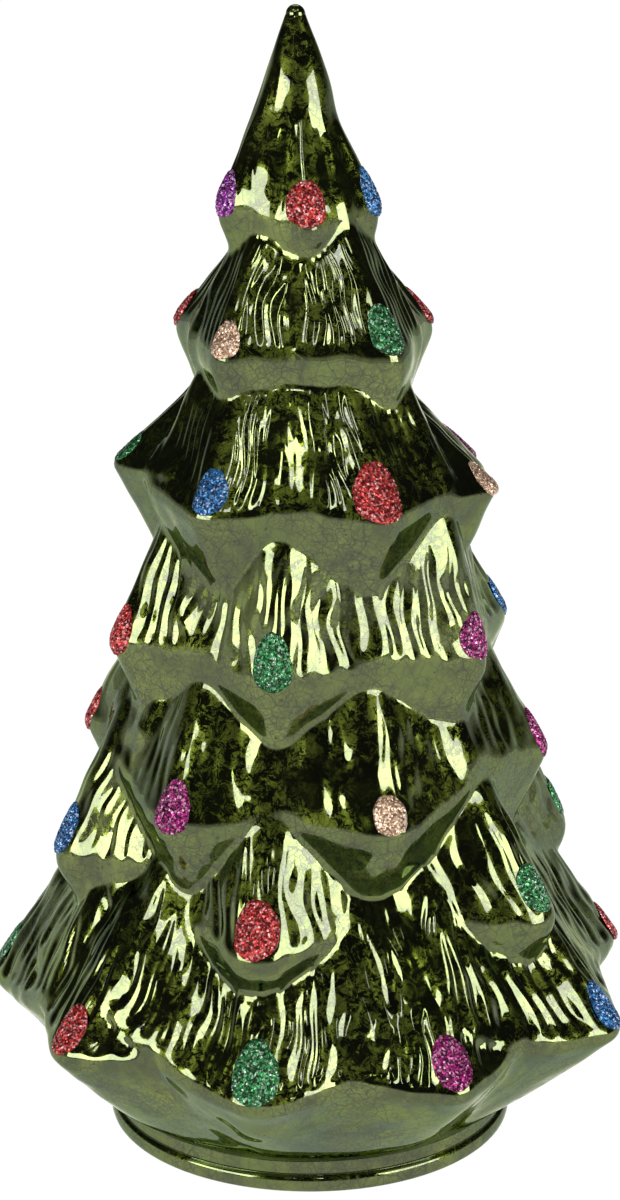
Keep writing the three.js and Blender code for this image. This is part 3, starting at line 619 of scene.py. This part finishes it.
# Camera, as fitted to the photograph
CAMERA_PITCH = 0.3
camera_data = bpy.data.cameras.new("camera")
camera_data.sensor_width = 36
camera_data.lens = 95.08
camera = bpy.data.objects.new("camera", camera_data)
camera.location = (0, -0.7415, 0.365)
camera.rotation_euler = (math.pi / 2 - CAMERA_PITCH, 0, 0)
scene.collection.objects.link(camera)
scene.camera = camera


# Floor, world and lamps
scene.view_settings.view_transform = "Standard"


def seen_directly(tree):
    """1 for rays that come from the camera, a mirror or glass."""
    path = tree.nodes.new("ShaderNodeLightPath")
    total = path.outputs["Is Camera Ray"]
    for name in ("Is Glossy Ray", "Is Transmission Ray"):
        add = tree.nodes.new("ShaderNodeMath")
        add.operation = "MAXIMUM"
        tree.links.new(total, add.inputs[0])
        tree.links.new(path.outputs[name], add.inputs[1])
        total = add.outputs[0]
    return total


def floor():
    """A pale floor that is white to the camera and in reflections."""
    m = Nodes("floor")
    tree = m.tree
    tree.nodes.remove(m.shader)
    output = next(n for n in tree.nodes if n.type == "OUTPUT_MATERIAL")
    diffuse = m.add("ShaderNodeBsdfDiffuse", {"Color": (0.8, 0.8, 0.8, 1)})
    shaded = m.add("ShaderNodeBsdfDiffuse", {"Color": (0.1, 0.1, 0.1, 1)})
    glow = m.add("ShaderNodeEmission", {"Color": (1, 1, 1, 1), "Strength": 0.98})
    both = tree.nodes.new("ShaderNodeAddShader")
    tree.links.new(shaded.outputs[0], both.inputs[0])
    tree.links.new(glow.outputs[0], both.inputs[1])
    pick = tree.nodes.new("ShaderNodeMixShader")
    tree.links.new(seen_directly(tree), pick.inputs[0])
    tree.links.new(diffuse.outputs[0], pick.inputs[1])
    tree.links.new(both.outputs[0], pick.inputs[2])
    tree.links.new(pick.outputs[0], output.inputs["Surface"])
    size = 3.0
    plane = mesh_object("floor", [(-size, -size, 0), (size, -size, 0), (size, size, 0), (-size, size, 0)],
                        [(0, 1, 2, 3)], smooth=False)
    plane.data.materials.append(m.material)


def studio_world():
    """White behind the tree. Reflections see a room that darkens upwards."""
    world = bpy.data.worlds.new("studio")
    scene.world = world
    world.use_nodes = True
    tree = world.node_tree
    background = tree.nodes["Background"]
    coords = tree.nodes.new("ShaderNodeTexCoord")
    split = tree.nodes.new("ShaderNodeSeparateXYZ")
    tree.links.new(coords.outputs["Generated"], split.inputs[0])
    ramp = tree.nodes.new("ShaderNodeMapRange")
    ramp.interpolation_type = "SMOOTHSTEP"
    tree.links.new(split.outputs["Z"], ramp.inputs["Value"])
    for key, value in (("From Min", 0.0), ("From Max", 0.18), ("To Min", 0.6), ("To Max", 0.03)):
        ramp.inputs[key].default_value = value
    path = tree.nodes.new("ShaderNodeLightPath")
    strength = tree.nodes.new("ShaderNodeMix")
    strength.data_type = "FLOAT"
    tree.links.new(path.outputs["Is Camera Ray"], strength.inputs[0])
    tree.links.new(ramp.outputs[0], strength.inputs[2])
    strength.inputs[3].default_value = 1.0
    soft = tree.nodes.new("ShaderNodeMix")
    soft.data_type = "FLOAT"
    tree.links.new(seen_directly(tree), soft.inputs[0])
    soft.inputs[2].default_value = 0.35
    tree.links.new(strength.outputs[0], soft.inputs[3])
    tree.links.new(soft.outputs[0], background.inputs["Strength"])
    background.inputs["Color"].default_value = (1, 1, 1, 1)


def softbox(name, azimuth, elevation, distance, width, height, radiance):
    """A rectangular lamp that points at the middle of the tree. Azimuth 0 is on the camera's side."""
    data = bpy.data.lights.new(name, "AREA")
    data.shape = "RECTANGLE"
    data.size, data.size_y = width, height
    data.energy = radiance * math.pi * width * height
    lamp = bpy.data.objects.new(name, data)
    a, e = math.radians(azimuth), math.radians(elevation)
    direction = np.array([math.sin(a) * math.cos(e), -math.cos(a) * math.cos(e), math.sin(e)])
    lamp.location = direction * distance + np.array([0, 0, 0.12])
    lamp.rotation_euler = (math.pi / 2 - e, 0, a)
    scene.collection.objects.link(lamp)


floor()
studio_world()
softbox("softbox_right", 57, 15, 1.5, 0.95, 0.66, 7.5)
softbox("softbox_left", -50, 15, 1.5, 1.05, 0.6, 7.5)
softbox("strip_top", 7, 47, 1.5, 0.06, 0.35, 8)
softbox("strip_front", -13, 44, 1.5, 0.18, 0.2, 8)
softbox("strip_right", 42, 56, 1.5, 0.3, 0.26, 6)
softbox("strip_left", -40, 57, 1.5, 0.3, 0.26, 6)
softbox("softbox_rear", 180, 50, 1.6, 0.9, 0.7, 2.0)
